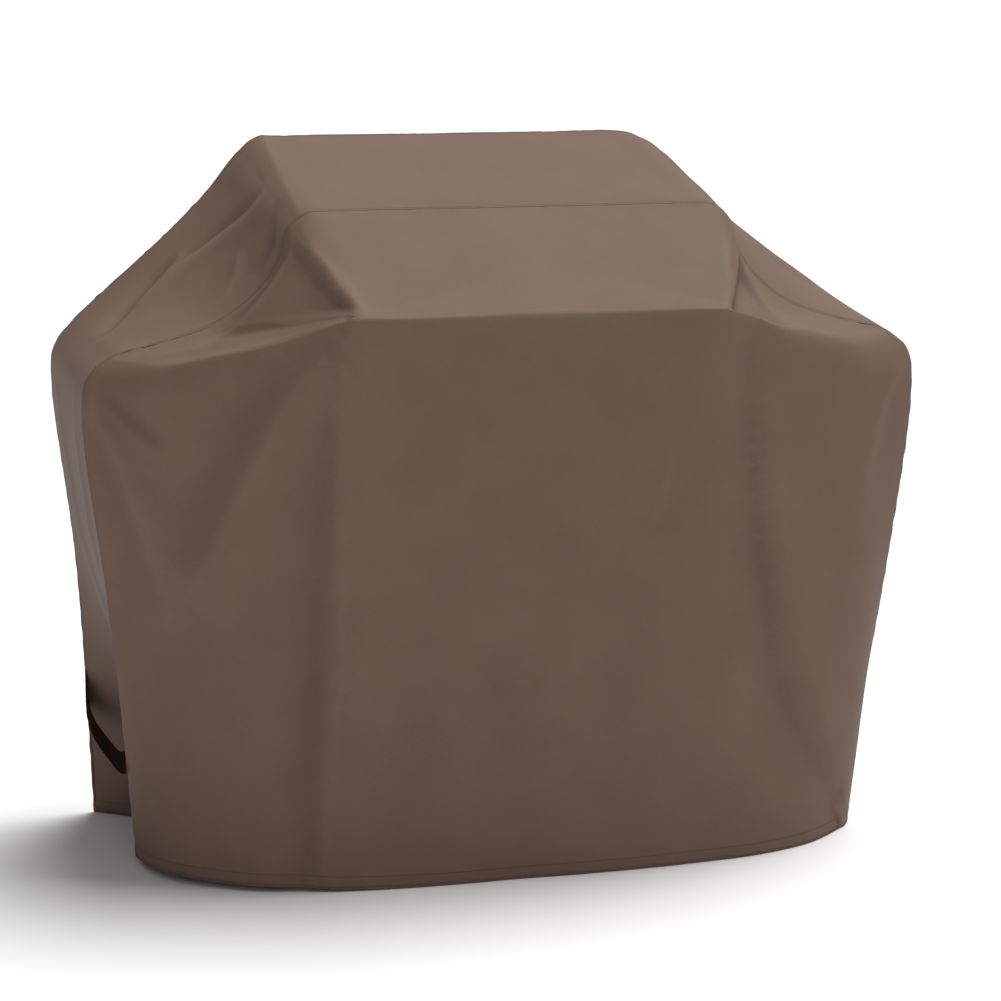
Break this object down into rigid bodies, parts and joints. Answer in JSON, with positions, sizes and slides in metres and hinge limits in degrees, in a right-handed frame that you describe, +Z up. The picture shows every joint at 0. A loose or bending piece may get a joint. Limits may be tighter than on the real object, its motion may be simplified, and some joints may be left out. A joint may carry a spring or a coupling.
{
  "type": "grill cover",
  "caption": "Fitted fabric cover for a cart grill: front and back panels sewn to one band over lid and shelves, bound seams, turned hems, a slack webbing handle on each side.",
  "frame": {"origin": "middle of the footprint, on the level that the hem stands on", "axes": "+X to the viewer's right along the shelves, +Y from the front to the back, +Z up"},
  "size_m": [1.4782, 0.6704, 1.2285],
  "materials": {
    "cloth": "matt plain weave polyester, coated inside",
    "binding": "matt woven tape",
    "thread": "polyester thread",
    "webbing": "ribbed black webbing"
  },
  "bodies": {
    "cover": {"front_panel": "cloth", "back_panel": "cloth", "top_and_side_band": "cloth", "front_hem": "cloth", "back_hem": "cloth", "left_hem": "cloth", "right_hem": "cloth", "front_seam_binding": "binding", "back_seam_binding": "binding", "front_seam_thread": "thread", "back_seam_thread": "thread", "front_hem_thread": "thread", "back_hem_thread": "thread", "left_hem_thread": "thread", "right_hem_thread": "thread", "left_handle_front_end": "webbing", "left_handle_back_end": "webbing", "right_handle_front_end": "webbing", "right_handle_back_end": "webbing"},
    "left_handle": {"left_handle": "webbing"},
    "right_handle": {"right_handle": "webbing"}
  },
  "joints": [
    {"name": "left_handle_swing", "type": "hinge", "parent": "cover", "child": "left_handle", "pos_m": [-0.6799, 0.14191, 0.22563], "axis": [-0.0369, 0.9913, 0.1264], "range_deg": [0, 120]},
    {"name": "right_handle_swing", "type": "hinge", "parent": "cover", "child": "right_handle", "pos_m": [0.68863, 0.14192, 0.22563], "axis": [-0.0355, -0.9913, -0.1264], "range_deg": [0, 120]}
  ]
}
